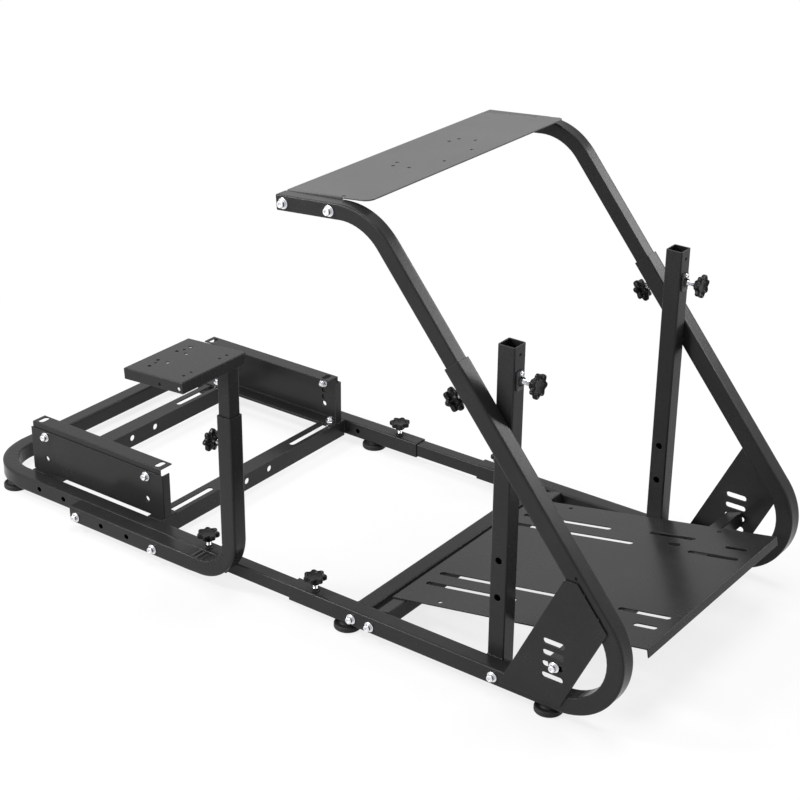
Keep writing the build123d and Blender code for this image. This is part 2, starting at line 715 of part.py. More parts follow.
clamp_groups = (
    ("rail_knob", rail_clamps),
    ("height_knob", height_clamps),
    ("post_knob", post_clamps),
    ("front_knob", front_clamps),
)
for name, clamps in clamp_groups:
    for side, plane in clamps:
        save(star_knob(plane), f"{name}_{side}")
save(star_knob(shifter_clamp), "shifter_knob")

rear_screw_solids = [clamp_screw(plane, tube_reach) for side, plane in rail_clamps + height_clamps]
rear_screw_solids += [clamp_screw(plane, tube_wall + clamp_plate_sheet) for side, plane in post_clamps]
with BuildPart() as rear_screws:
    add(rear_screw_solids)
save(rear_screws.part, "rear_clamp_screws")

front_screw_solids = [clamp_screw(plane, tube_reach) for side, plane in front_clamps]
front_screw_solids.append(clamp_screw(shifter_clamp, tube_reach))
with BuildPart() as front_screws:
    add(front_screw_solids)
save(front_screws.part, "front_clamp_screws")
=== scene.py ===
"""Scene of the gaming simulator stand, in metres in the frame of its CAD model.

The stand's lengths are written in millimetres of the drawing. Its X runs from the pedals to the
seat, its Y from the driver's left to the right, and its Z up. Lamps, camera and floor are in
metres.
"""

import bpy
import bmesh
import json
from collections import namedtuple
from math import atan2, cos, pi, radians, sin, tan
from mathutils import Matrix, Vector


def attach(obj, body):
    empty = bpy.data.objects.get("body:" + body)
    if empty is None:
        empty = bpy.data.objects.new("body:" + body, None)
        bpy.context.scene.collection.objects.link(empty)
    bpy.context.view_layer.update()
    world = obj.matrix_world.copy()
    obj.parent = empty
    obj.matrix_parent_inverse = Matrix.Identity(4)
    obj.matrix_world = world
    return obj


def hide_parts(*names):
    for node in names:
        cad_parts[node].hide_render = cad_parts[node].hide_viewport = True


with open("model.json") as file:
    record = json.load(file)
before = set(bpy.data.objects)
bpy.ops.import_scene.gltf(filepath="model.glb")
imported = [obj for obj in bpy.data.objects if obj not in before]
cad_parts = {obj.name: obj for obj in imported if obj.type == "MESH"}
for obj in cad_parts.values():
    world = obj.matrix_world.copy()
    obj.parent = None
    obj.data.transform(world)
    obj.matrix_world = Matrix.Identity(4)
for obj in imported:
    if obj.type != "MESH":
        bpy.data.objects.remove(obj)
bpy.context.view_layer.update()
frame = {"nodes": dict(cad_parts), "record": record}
nodes = frame["nodes"]

# ---------------------------------------------------------------- sizes
SHIFT_X, SHIFT_Y = 218.65, 64.0
SIDES = (("left", -1), ("right", 1))

# Tubes: size, wall, corner
Section = namedtuple("Section", "size wall corner")
TUBE, SLIDE = 30.0, 25.0
OUTER_TUBE, INNER_TUBE = Section(TUBE, 2.0, 2.5), Section(SLIDE, 1.5, 2.0)

HALF_WIDTH = 290.5
RAIL_Y, RAIL_Z, RAIL_TOP = 275.5, 30.0, 45.0
RAIL_INNER_Y = RAIL_Y - TUBE / 2

# Side frames and wheel arms
RAIL_FRONT_X = -157.5
REAR_BEND_X, REAR_BEND_RADIUS = 369.3, 95.0
DIAGONAL_ANGLE, DIAGONAL_LENGTH = radians(50.7), 446.0
GUSSET_SHEET = 3.0
ARM_INSERTION, ARM_RUN, ARM_FRONT_RUN = 160.0, 251.0, 170.0
ARM_TILT, ARM_BEND_RADIUS = radians(4.6), 97.0

# Front loop and shifter arm
LOOP_REAR_X, LOOP_FRONT_X, LOOP_BEND_RADIUS = -299.0, -901.6, 88.0
CROSSBARS_X = (-784.5, -489.2)
CROSSBAR_SHEET = 2.0
SHIFTER_ARM_Y, SHIFTER_ARM_FRONT_X, SHIFTER_ARM_TOP = -305.5, -645.0, 333.6
SHIFTER_X, SHIFTER_BEND_RADIUS = -263.0, 71.0
LAST_HOLE_X, HOLE_PITCH, HOLE_RADIUS = -441.0, 63.0, 5.2
LOOP_HOLES, SHIFTER_ARM_HOLES = 6, 4

# Shifter tray
TRAY_TILT, TRAY_TOP, TRAY_REAR_X, TRAY_SHEET = radians(3.7), 438.0, -248.3, 2.4

# Clamps
RAIL_CLAMP_X, LOOP_CLAMP_X = -112.5, -349.0
SLEEVE_CLAMP_INSET = 45.0
POST_CLAMP_X, POST_CLAMP_Y, POST_CLAMP_Z = 254.5, 245.5, 517.0
POST_BOLT_RISE = 11.0
SHIFTER_CLAMP_Z = 275.6


def at(x, y, z):
    """Point of the drawing, in millimetres, as a point of the frame in metres."""
    return Vector(((x + SHIFT_X) / 1000, (y + SHIFT_Y) / 1000, z / 1000))


# ---------------------------------------------------------------- camera
AZIMUTH, ELEVATION, ROLL = radians(36.903), radians(25.561), radians(0.338)
FOCAL_PIXELS, FRAME_PIXELS = 1827.88, 800
SHIFT_PIXELS = (11.17, 11.22)
SENSOR, DISTANCE = 36.0, 3.16767
TARGET = Vector((0.04965, 0.06390, 0.25159))
forward = Vector(
    (-sin(AZIMUTH) * cos(ELEVATION), cos(AZIMUTH) * cos(ELEVATION), -sin(ELEVATION))
)
level_right = Vector((cos(AZIMUTH), sin(AZIMUTH), 0))
level_up = level_right.cross(forward)
right = level_right * cos(ROLL) + level_up * sin(ROLL)
up = level_up * cos(ROLL) - level_right * sin(ROLL)
camera_data = bpy.data.cameras.new("camera")
camera = bpy.data.objects.new("camera", camera_data)
bpy.context.scene.collection.objects.link(camera)
turned = Matrix((right, up, -forward)).transposed()
camera.matrix_world = Matrix.Translation(TARGET - forward * DISTANCE) @ turned.to_4x4()
camera_data.sensor_fit = "HORIZONTAL"
camera_data.sensor_width = SENSOR
camera_data.lens = SENSOR * FOCAL_PIXELS / FRAME_PIXELS
camera_data.shift_x, camera_data.shift_y = (pixels / FRAME_PIXELS for pixels in SHIFT_PIXELS)
camera_data.clip_start, camera_data.clip_end = 0.05, 60
bpy.context.scene.camera = camera


# ---------------------------------------------------------------- materials
def grey(value):
    return (value, value, value)


class Graph:
    """Small helper to write node trees."""

    def __init__(self, tree):
        self.tree = tree
        tree.nodes.clear()

    def add(self, kind, inputs=None, **settings):
        node = self.tree.nodes.new(kind)
        for key, value in settings.items():
            setattr(node, key, value)
        for key, value in (inputs or {}).items():
            socket = node.inputs[key]
            if isinstance(value, bpy.types.NodeSocket):
                self.tree.links.new(value, socket)
            else:
                socket.default_value = value
        return node

    def ramp(self, fac, stops, interpolation="LINEAR"):
        node = self.add("ShaderNodeValToRGB", {"Fac": fac})
        node.color_ramp.interpolation = interpolation
        for element, (place, colour) in zip(node.color_ramp.elements, stops):
            element.position = place
            element.color = (*colour, 1)
        return node.outputs["Color"]

    def math(self, operation, a, b):
        return self.add("ShaderNodeMath", {0: a, 1: b}, operation=operation).outputs[0]

    def place(self):
        return self.add("ShaderNodeTexCoord").outputs["Object"]

    def noise(self, place, scale, detail, roughness=0.5):
        inputs = {"Vector": place, "Scale": scale, "Detail": detail, "Roughness": roughness}
        return self.add("ShaderNodeTexNoise", inputs).outputs["Fac"]

    def bump(self, height, strength, distance, **inputs):
        inputs.update({"Height": height, "Strength": strength, "Distance": distance})
        return self.add("ShaderNodeBump", inputs).outputs["Normal"]

    def principled(self, tint, gloss, normal, **inputs):
        """Shader with these inputs, put out as the material's surface."""
        shader = self.add("ShaderNodeBsdfPrincipled", {
            "Base Color": tint, "Roughness": gloss, "Normal": normal, **inputs,
        })
        self.add("ShaderNodeOutputMaterial", {"Surface": shader.outputs[0]})

    def seen_white(self):
        """1 for the rays that show the background: camera, glossy and transmission rays."""
        path = self.add("ShaderNodeLightPath").outputs
        seen = self.math("MAXIMUM", path["Is Camera Ray"], path["Is Glossy Ray"])
        return self.math("MAXIMUM", seen, path["Is Transmission Ray"])


def new_material(name):
    material = bpy.data.materials.new(name)
    material.use_nodes = True
    return material, Graph(material.node_tree)


def coat(name, dark, pale, rough, specular):
    """Powder coat: mottled, with fine orange peel and rounded edges, and a painted highlight along
    the sharp edges.
    """
    material, g = new_material(name)
    place = g.place()
    cloud = g.math("MULTIPLY", g.noise(place, 9.0, 4.0, 0.6), 0.6)
    speck = g.math("MULTIPLY", g.noise(place, 420.0, 2.0), 0.4)
    peel = g.noise(place, 900.0, 3.0, 0.55)
    blend = g.math("ADD", cloud, speck)
    tint = g.ramp(blend, ((0.35, dark), (0.65, pale)))
    gloss = g.ramp(blend, ((0.3, grey(rough - 0.05)), (0.7, grey(rough + 0.07))))
    rounded = g.add("ShaderNodeBevel", {"Radius": 0.0011}, samples=4).outputs["Normal"]
    flat = g.add("ShaderNodeNewGeometry").outputs["Normal"]
    facing = g.add("ShaderNodeVectorMath", {0: rounded, 1: flat}, operation="DOT_PRODUCT")
    # Painted highlight: along sharp edges, where the rounded normal turns away from the flat one,
    # the base colour is mixed towards a lighter grey
    painted_edge_highlight = g.ramp(facing.outputs["Value"], ((0.80, grey(1.0)), (0.96, grey(0.0))))
    # Colour of the painted edge highlight
    edge = tuple(0.6 * c + 0.055 for c in pale)
    # Inputs 6 and 7 of the Mix node are the two colours, output 2 is the mixed one
    tint = g.add("ShaderNodeMix", {0: painted_edge_highlight, 6: tint, 7: (*edge, 1)}, data_type="RGBA").outputs[2]
    normal = g.bump(peel, 0.12, 0.0004, Normal=rounded)
    g.principled(tint, gloss, normal, **{"Specular IOR Level": specular})
    return material


def zinc(name, colour, rough):
    """Bright zinc with faint clouding."""
    material, g = new_material(name)
    place = g.place()
    cloud = g.noise(place, 260.0, 3.0)
    light = tuple(min(1, c * 1.12) for c in colour)
    tint = g.ramp(cloud, ((0.3, colour), (0.7, light)))
    gloss = g.ramp(cloud, ((0.3, grey(rough)), (0.7, grey(rough + 0.12))))
    normal = g.bump(g.noise(place, 1400.0, 2.0), 0.08, 0.0003)
    g.principled(tint, gloss, normal, Metallic=1.0)
    return material


def moulded(name, dark, pale, rough, scale, strength, specular):
    """Moulded plastic or rubber with a fine erosion texture."""
    material, g = new_material(name)
    place = g.place()
    cloud = g.noise(place, 70.0, 4.0)
    tint = g.ramp(cloud, ((0.35, dark), (0.7, pale)))
    gloss = g.ramp(cloud, ((0.3, grey(rough - 0.06)), (0.7, grey(rough + 0.08))))
    normal = g.bump(g.noise(place, scale, 3.0, 0.6), strength, 0.0004)
    g.principled(tint, gloss, normal, **{"Specular IOR Level": specular})
    return material


FRAME_COAT = coat("frame_coat", (0.0175, 0.0177, 0.0180), (0.0235, 0.0238, 0.0240), 0.235, 0.15)
PLATE_COAT = coat("plate_coat", (0.060, 0.0605, 0.061), (0.094, 0.0945, 0.095), 0.45, 0.30)
ZINC = zinc("screw_steel", (0.72, 0.73, 0.75), 0.22)
KNOB_PLASTIC = moulded(
    "knob_plastic", (0.0065, 0.0065, 0.0067), (0.0105, 0.0105, 0.0107), 0.24, 1100.0, 0.06, 0.15
)
FOOT_RUBBER = moulded(
    "foot_rubber", (0.014, 0.014, 0.0142), (0.022, 0.022, 0.0222), 0.50, 800.0, 0.2, 0.2
)
BY_SLOT = {
    "frame_coat": FRAME_COAT,
    "plate_coat": PLATE_COAT,
    "foot_rubber": FOOT_RUBBER,
    "knob_plastic": KNOB_PLASTIC,
    "screw_steel": ZINC,
}
for part in frame["record"]["subparts"]:
    for slot in nodes[part["node"]].material_slots:
        slot.material = BY_SLOT[part["material_slot"]]


# ---------------------------------------------------------------- pieces
def finish_mesh(bm, name, angle=32):
    """Mesh with smooth faces and sharp edges where faces meet at more than the angle."""
    bmesh.ops.recalc_face_normals(bm, faces=bm.faces)
    for face in bm.faces:
        face.smooth = True
    for edge in bm.edges:
        edge.smooth = len(edge.link_faces) == 2 and edge.calc_face_angle(0.0) < radians(angle)
    mesh = bpy.data.meshes.new(name)
    bm.to_mesh(mesh)
    bm.free()
    return mesh


def add_piece(name, mesh, body, material, replaced=()):
    mesh.materials.clear()
    mesh.materials.append(material)
    piece = bpy.data.objects.new(name, mesh)
    bpy.context.scene.collection.objects.link(piece)
    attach(piece, body)
    if replaced:
        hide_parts(*replaced)


def bridge(bm, ring_a, ring_b):
    """Faces between two closed rings with as many points."""
    count = len(ring_a)
    for i in range(count):
        j = (i + 1) % count
        bm.faces.new((ring_a[i], ring_a[j], ring_b[j], ring_b[i]))


def bridge_all(bm, rings):
    for ring_a, ring_b in zip(rings, rings[1:]):
        bridge(bm, ring_a, ring_b)


def frame_of(axis):
    """Matrix that turns Z to the axis."""
    return Vector(axis).normalized().to_track_quat("Z", "Y").to_matrix()


def stack(bm, rings, place, axis, twist=0.0, closed_start=True, closed_end=True):
    """Rings of (height, [radius at each step]) in millimetres, on the axis at a place in metres."""
    turned = frame_of(axis) @ Matrix.Rotation(twist, 3, "Z")
    made = []
    for height, radii in rings:
        ring = []
        for i, radius in enumerate(radii):
            angle = 2 * pi * i / len(radii)
            spot = Vector((radius * cos(angle), radius * sin(angle), height))
            ring.append(bm.verts.new(place + turned @ spot / 1000))
        made.append(ring)
    bridge_all(bm, made)
    if closed_start:
        bm.faces.new(made[0][::-1])
    if closed_end:
        bm.faces.new(made[-1])


def turn_round(bm, profile, steps, place, axis, twist=0.0, **ends):
    """Round solid from a profile of (height, radius)."""
    rings = [(height, [radius] * steps) for height, radius in profile]
    stack(bm, rings, place, axis, twist, **ends)


# ---------------------------------------------------------------- bent tubes
Station = namedtuple("Station", "place way side share length")
Folds = namedtuple("Folds", "pitch depth side_depth dish soften")
STRAIGHT_STEP, ARC_STEP = 30.0, 1.6
END_CHAMFER = 0.35
BEND_ANGLE = 30


def rounded_square(size, corner, face_steps=8, corner_steps=4):
    """Points round a square section with rounded corners."""
    half, flat = size / 2, size / 2 - corner
    points = []
    for quarter in range(4):
        turned = Matrix.Rotation(quarter * pi / 2, 2)
        for i in range(face_steps):
            points.append(turned @ Vector((half, -flat + 2 * flat * i / face_steps)))
        for i in range(corner_steps):
            angle = pi / 2 * i / corner_steps
            points.append(turned @ Vector((flat + corner * cos(angle), flat + corner * sin(angle))))
    return points


def stations(corners, radius, lead):
    """Stations along a line with rounded corners.

    In a bend each has the side that it turns to, its share of the folded run and its length along
    it. The folds of a bend start by the lead before its arc, on the straight.
    """
    corners = [Vector(corner) for corner in corners]
    out, start = [], corners[0]
    for i in range(1, len(corners)):
        last = i == len(corners) - 1
        way = (corners[i] - corners[i - 1]).normalized()
        stop = corners[i]
        if not last:
            next_way = (corners[i + 1] - corners[i]).normalized()
            turn = atan2(way.x * next_way.y - way.y * next_way.x, way.dot(next_way))
            stop = corners[i] - way * radius * tan(abs(turn) / 2)
        run = (stop - start).length - (0 if last else lead)
        count = max(1, round(run / STRAIGHT_STEP))
        out += [Station(start + way * run * k / count, way, 0, 0.0, 0.0) for k in range(count)]
        if last:
            out.append(Station(stop, way, 0, 0.0, 0.0))
            break
        side = 1 if turn > 0 else -1
        centre = stop + Vector((-way.y, way.x)) * side * radius
        arc = abs(turn) * radius
        count = round(lead / ARC_STEP)
        for k in range(count):
            length = lead * k / count
            spot = stop - way * (lead - length)
            out.append(Station(spot, way, side, length / (lead + arc), length))
        count = round(arc / ARC_STEP)
        for k in range(count):
            turned = Matrix.Rotation(turn * k / count, 2)
            length = lead + arc * k / count
            spot = centre + turned @ (stop - centre)
            out.append(Station(spot, turned @ way, side, length / (lead + arc), length))
        start = centre + Matrix.Rotation(turn, 2) @ (stop - centre)
    return out


def crumple(point, half, station, folds):
    """Section point in a bend: folded inside, fainter on the flanks, dished and soft outside."""
    a, b = point
    side, share, length = station.side, station.share, station.length
    if not side:
        return a, b
    fade = min(1.0, 7.0 * share, 7.0 * (1.0 - share)) ** 0.7
    u, v = side * a / half, b / half
    phase = 2 * pi * length / folds.pitch - 1.6 + 0.4 * sin(length * 0.11)
    wave = (0.5 + 0.5 * cos(phase)) ** 1.2
    wave *= 0.85 + 0.15 * sin(length * 0.37)
    inner = max(0.0, (u - 0.25) / 0.75) ** 1.4
    flank = max(0.0, (u + 0.35) / 1.35) ** 1.3 * abs(v) ** 8
    outer = max(0.0, (-u - 0.6) / 0.4)
    a -= side * folds.depth * wave * fade * inner * (1 - 0.35 * abs(v) ** 4)
    a += side * fade * outer * (folds.dish * (1 - v * v) + 0.6 * folds.soften * v ** 6)
    sunk = folds.side_depth * wave * flank + folds.soften * outer * abs(v) ** 6
    b -= (1 if b > 0 else -1) * fade * sunk
    return a, b


def bent_tube(name, corners, radius, put, section, folds, lead=0.0):
    """Open square tube along a rounded line.

    put gives the point of a place in the line's plane and a height over it.
    """
    size, wall, corner = section
    line = stations(corners, radius, lead)
    outer = rounded_square(size, corner)
    inner = rounded_square(size - 2 * wall, max(corner - wall, 0.5))
    shrink = (size - 2 * END_CHAMFER) / size
    bm = bmesh.new()

    def ring(station, points, scale=1.0, shift=0.0, folded=True):
        across = Vector((-station.way.y, station.way.x))
        verts = []
        for point in points:
            a, b = crumple(point, size / 2, station, folds) if folded else point
            spot = station.place + station.way * shift + across * a * scale
            verts.append(bm.verts.new(put(spot, b * scale)))
        return verts

    first, *middle, last = line
    rings = [ring(first, outer, shrink), ring(first, outer, 1.0, END_CHAMFER)]
    rings += [ring(station, outer) for station in middle]
    rings += [ring(last, outer, 1.0, -END_CHAMFER), ring(last, outer, shrink)]
    # The inside of the bends is smooth and needs fewer stations
    kept = [station for k, station in enumerate(middle) if not station.side or k % 4 == 0]
    inside = [ring(station, inner, folded=False) for station in (first, *kept, last)]
    bridge_all(bm, rings)
    for ring_a, ring_b in zip(inside, inside[1:]):
        bridge(bm, ring_b, ring_a)
    bridge(bm, inside[0], rings[0])
    bridge(bm, rings[-1], inside[-1])
    return finish_mesh(bm, name, BEND_ANGLE)


def drilled(mesh, places):
    """The mesh with round holes through it, from side to side."""
    body = bpy.data.objects.new("drilled", mesh)
    bm = bmesh.new()
    for place in places:
        turn_round(bm, [(-20.0, HOLE_RADIUS), (20.0, HOLE_RADIUS)], 24, place, (0, 1, 0))
    cutter = bpy.data.objects.new("cutter", finish_mesh(bm, "cutter"))
    for extra in (body, cutter):
        bpy.context.scene.collection.objects.link(extra)
    modifier = body.modifiers.new("holes", "BOOLEAN")
    modifier.operation, modifier.object, modifier.solver = "DIFFERENCE", cutter, "EXACT"
    evaluated = body.evaluated_get(bpy.context.evaluated_depsgraph_get())
    cut = bpy.data.meshes.new_from_object(evaluated)
    for extra in (body, cutter):
        bpy.data.objects.remove(extra)
    bm = bmesh.new()
    bm.from_mesh(cut)
    return finish_mesh(bm, mesh.name + "_drilled", BEND_ANGLE)


def upright(y):
    """Puts a line's plane upright, at that Y."""
    return lambda spot, b: at(spot.x, y + b, spot.y)


def hole_x(k):
    return LAST_HOLE_X - HOLE_PITCH * k


# Directions and corners in the upright plane of a side
diagonal = Vector((-cos(DIAGONAL_ANGLE), sin(DIAGONAL_ANGLE)))
under = Vector((-sin(DIAGONAL_ANGLE), -cos(DIAGONAL_ANGLE)))
bend_tangent = REAR_BEND_RADIUS * tan((pi - DIAGONAL_ANGLE) / 2)
bend_corner = Vector((REAR_BEND_X + bend_tangent, RAIL_Z))
sleeve_end = bend_corner + diagonal * (bend_tangent + DIAGONAL_LENGTH)
deck_front = Vector((-cos(ARM_TILT), -sin(ARM_TILT)))
deck_corner = sleeve_end + diagonal * ARM_RUN
deck_end = deck_corner + deck_front * ARM_FRONT_RUN
deck_foot = sleeve_end - diagonal * ARM_INSERTION

for side, hand in SIDES:
    mesh = bent_tube(
        f"side_frame_{side}_mesh",
        [(RAIL_FRONT_X, RAIL_Z), bend_corner, sleeve_end], REAR_BEND_RADIUS,
        upright(hand * RAIL_Y), OUTER_TUBE, Folds(12.5, 0.12, 0.3, 0.6, 0.6),
    )
    add_piece(
        f"bent_side_{side}", mesh, "rear_frame", FRAME_COAT, [f"side_frame_{side}"]
    )
    mesh = bent_tube(
        f"wheel_arm_{side}_mesh",
        [deck_foot, deck_corner, deck_end], ARM_BEND_RADIUS,
        upright(hand * RAIL_Y), INNER_TUBE, Folds(9.0, 0.25, 0.10, 0.6, 0.5),
    )
    add_piece(
        f"bent_arm_{side}", mesh, "wheel_deck", FRAME_COAT, [f"wheel_arm_{side}"]
    )

mesh = bent_tube(
    "front_loop_mesh",
    [
        (LOOP_REAR_X, -RAIL_Y), (LOOP_FRONT_X, -RAIL_Y),
        (LOOP_FRONT_X, RAIL_Y), (LOOP_REAR_X, RAIL_Y),
    ],
    LOOP_BEND_RADIUS,
    lambda spot, b: at(spot.x, spot.y, RAIL_Z + b),
    OUTER_TUBE, Folds(14.0, 0.15, 0.3, 0.7, 1.1),
)
holes = [at(hole_x(k), hand * RAIL_Y, RAIL_Z) for k in range(LOOP_HOLES) for hand in (-1, 1)]
mesh = drilled(mesh, holes)
add_piece("bent_loop", mesh, "front_frame", FRAME_COAT, ["front_loop"])

mesh = bent_tube(
    "shifter_arm_mesh",
    [(SHIFTER_ARM_FRONT_X, RAIL_Z), (SHIFTER_X, RAIL_Z), (SHIFTER_X, SHIFTER_ARM_TOP)],
    SHIFTER_BEND_RADIUS,
    upright(SHIFTER_ARM_Y), OUTER_TUBE, Folds(10.2, 2.7, 0.6, 1.5, 0.9), lead=23.0,
)
holes = [at(hole_x(k), SHIFTER_ARM_Y, RAIL_Z) for k in range(SHIFTER_ARM_HOLES)]
mesh = drilled(mesh, holes)
add_piece("bent_shifter_arm", mesh, "front_frame", FRAME_COAT, ["shifter_arm"])

# ---------------------------------------------------------------- bolts
STEPS = 36
NUT_FLATS, SOCKET_FLATS = 13.0, 5.2
WASHER_THICK = 1.6
HEAD_PROUD, LOW_HEAD_PROUD = 8.8, 6.0


def hexagon(flats):
    """Radii of a hexagon of that width across its flats."""
    angles = [2 * pi * i / STEPS for i in range(STEPS)]
    return [flats / 2 / cos((angle + pi / 6) % (pi / 3) - pi / 6) for angle in angles]


def washer(bm, place, axis, radius=8.5, thick=WASHER_THICK, bore=4.2):
    profile = [
        (0.0, bore), (0.0, radius - 0.3), (0.3, radius),
        (thick - 0.3, radius), (thick, radius - 0.4), (thick, bore),
    ]
    turn_round(bm, profile, STEPS, place, axis, closed_start=False, closed_end=False)


def round_head(bm, place, axis, start, end, radius=5.9, twist=0.0):
    """Round head with a turned rim and a six-sided recess, a high one on a spring ring."""
    socket = hexagon(SOCKET_FLATS)
    rim = min(1.3, 0.3 * (end - start))
    profile = [(start, radius - 0.5)]
    if end - start > 5.0:
        profile += [
            (start + 0.3, radius + 0.3), (start + 1.7, radius + 0.3),
            (start + 2.0, radius - 0.7), (start + 2.3, radius - 0.7),
        ]
        start += 2.3
    profile += [(start + 0.3, radius), (end - rim, radius)]
    for k in (1, 2, 3):
        angle = pi / 2 * k / 3
        profile.append((end - rim * (1 - sin(angle)), radius - rim * (1 - cos(angle))))
    profile.append((end, 3.4))
    rings = [(height, [r] * STEPS) for height, r in profile]
    rings += [(end - 0.3, socket), (end - 1.9, socket), (end - 2.3, [r * 0.5 for r in socket])]
    stack(bm, rings, place, axis, twist)


def bolt(bm, place, axis, twist=0.0, proud=HEAD_PROUD):
    """Washer and round head, standing proud by that much."""
    thick = WASHER_THICK if proud > LOW_HEAD_PROUD else 1.2
    washer(bm, place, axis, 8.8, thick)
    round_head(bm, place, axis, thick, proud, twist=twist)


def small_bolt(bm, place, axis, twist):
    washer(bm, place, axis, 4.7, 0.9, 2.3)
    round_head(bm, place, axis, 0.9, 3.9, 3.6, twist)


def nut(bm, place, axis, twist):
    """Washer, nut with a collar, and the end of the screw through it."""
    washer(bm, place, axis)
    flats, height, radius, reach = NUT_FLATS, 6.5, 4.0, 4.0
    wide = hexagon(flats)
    rings = [
        (WASHER_THICK, [min(r, flats * 0.53) for r in wide]),
        (2.1, wide),
        (height - 0.6, wide),
        (height, [min(r, flats * 0.49) for r in wide]),
        (height, [flats * 0.42] * STEPS),
        (height + 1.6, [flats * 0.40] * STEPS),
        (height + 1.9, [flats * 0.34] * STEPS),
        (height + 1.9, [radius] * STEPS),
    ]
    z = height + 1.9
    while z < height + reach:
        rings += [(z + 0.35, [radius - 0.45] * STEPS), (z + 0.8, [radius] * STEPS)]
        z += 0.8
    rings.append((z + 0.6, [radius - 0.7] * STEPS))
    stack(bm, rings, place, axis, twist)


def deck_point(back, y):
    spot = deck_end - deck_front * back
    return at(spot.x, y, spot.y)


# Through the rails: x, z, twist
RAIL_BOLTS = ((-25.5, 28.3, 0.3), (11.6, 27.6, 0.8), (251.7, 29.5, 0.1))
GUSSET_BOLT_X, GUSSET_BOLT_Z = 363.5, 93.4
BRACKET_BOLTS_X, BRACKET_BOLT_Z = (-770.5, -515.5), 118.3
BRACKET_OUTER_Y, BRACKET_INNER_Y = 252.5, 248.3
CROSSBAR_BOLT_Y = 234.0
SHIFTER_ARM_BOLTS_X, SHIFTER_ARM_BOLT_Z = (-630.0, -441.0), 27.0
DECK_BOLTS_BACK, DECK_NUT_Y = (14.0, 103.0), 260.8

bm = bmesh.new()
for hand in (-1, 1):
    out = (0, hand, 0)
    for x, z, twist in RAIL_BOLTS:
        proud = HEAD_PROUD if hand < 0 else 8.4
        bolt(bm, at(x, hand * HALF_WIDTH, z), out, twist, proud)
    place = at(GUSSET_BOLT_X, hand * (HALF_WIDTH + GUSSET_SHEET), GUSSET_BOLT_Z)
    bolt(bm, place, out, 0.5, HEAD_PROUD if hand < 0 else 5.3)
    place = at(POST_CLAMP_X, hand * POST_CLAMP_Y, POST_CLAMP_Z + POST_BOLT_RISE)
    small_bolt(bm, place, (1, 0, 0), 0.2)
add_piece("bolts_rear_frame", finish_mesh(bm, "bolts_rear"), "rear_frame", ZINC)

bm = bmesh.new()
for hand in (-1, 1):
    for k, x in enumerate(BRACKET_BOLTS_X):
        bolt(bm, at(x, hand * BRACKET_OUTER_Y, BRACKET_BOLT_Z), (0, hand, 0), 0.2 + k)
        nut(bm, at(x, hand * BRACKET_INNER_Y, BRACKET_BOLT_Z), (0, -hand, 0), 0.4 + k)
    for k, x in enumerate(CROSSBARS_X):
        y = hand * CROSSBAR_BOLT_Y
        bolt(bm, at(x, y, RAIL_TOP + CROSSBAR_SHEET), (0, 0, 1), 0.6 + k)
        nut(bm, at(x, y, RAIL_TOP - CROSSBAR_SHEET), (0, 0, -1), 0.6 + k)
for k, x in enumerate(SHIFTER_ARM_BOLTS_X):
    bolt(bm, at(x, SHIFTER_ARM_Y - TUBE / 2, SHIFTER_ARM_BOLT_Z), (0, -1, 0), 0.5 + k)
    nut(bm, at(x, -RAIL_INNER_Y, SHIFTER_ARM_BOLT_Z), (0, 1, 0), 0.2 + k)
add_piece("bolts_front_frame", finish_mesh(bm, "bolts_front"), "front_frame", ZINC)

bm = bmesh.new()
for hand in (-1, 1):
    for k, back in enumerate(DECK_BOLTS_BACK):
        bolt(bm, deck_point(back, hand * (RAIL_Y + SLIDE / 2)), (0, hand, 0), 0.3 + k)
        nut(bm, deck_point(back, hand * DECK_NUT_Y), (0, -hand, 0), 0.7 + k)
add_piece("bolts_wheel_deck", finish_mesh(bm, "bolts_deck"), "wheel_deck", ZINC)

# ---------------------------------------------------------------- clamps
LOBES, LOBE_TIP, LOBE_VALLEY = 7, 20.0, 4.9
KNOB_STEPS = 98
KNOB_ANGLES = [2 * pi * i / KNOB_STEPS for i in range(KNOB_STEPS)]
# Height, radius and depth of the ribs
KNOB_NECK = (
    (12.0, 7.4, 0.0), (12.4, 8.0, 0.2), (14.2, 8.3, 1.2), (16.6, 8.8, 3.0),
    (18.4, 9.8, 4.8), (19.2, 11.4, 5.2),
)
# Height, scale and how much of the lobes is left: up the rim, over it and down into the dish
KNOB_HEAD = (
    (19.5, 0.84, 0.95), (19.7, 0.93, 1.0), (20.4, 0.975, 1.0), (21.4, 0.995, 1.0), (22.4, 1.0, 1.0),
    (25.4, 1.0, 1.0), (26.5, 0.99, 1.0), (27.4, 0.965, 1.0), (27.9, 0.93, 1.0), (28.0, 0.895, 1.0),
    (27.85, 0.865, 0.98), (27.3, 0.835, 0.95), (26.3, 0.80, 0.9), (25.4, 0.74, 0.8),
    (24.9, 0.66, 0.6), (24.7, 0.55, 0.3), (24.65, 0.45, 0.0), (24.2, 0.43, 0.0), (24.1, 0.3, 0.0),
    (24.1, 0.08, 0.0),
)


def knob(bm, place, axis, twist, lift):
    """Star knob: ribbed neck, thin lobed head with a raised rim and a dished middle."""

    def neck(radius, rib):
        lobes = [cos(LOBES * angle) for angle in KNOB_ANGLES]
        return [radius + rib * lobe ** 0.6 if lobe > 0 else radius for lobe in lobes]

    def head(scale, lobed):
        radii = []
        for angle in KNOB_ANGLES:
            star = LOBE_TIP - LOBE_VALLEY * (0.5 - 0.5 * cos(LOBES * angle)) ** 1.15
            radii.append((star * lobed + 17.0 * (1 - lobed)) * scale)
        return radii

    rings = [(12.0 + lift, [4.1] * KNOB_STEPS)]
    rings += [(height + lift, neck(radius, rib)) for height, radius, rib in KNOB_NECK]
    rings += [(height + lift, head(scale, lobed)) for height, scale, lobed in KNOB_HEAD]
    stack(bm, rings, place, axis, twist, closed_start=False)


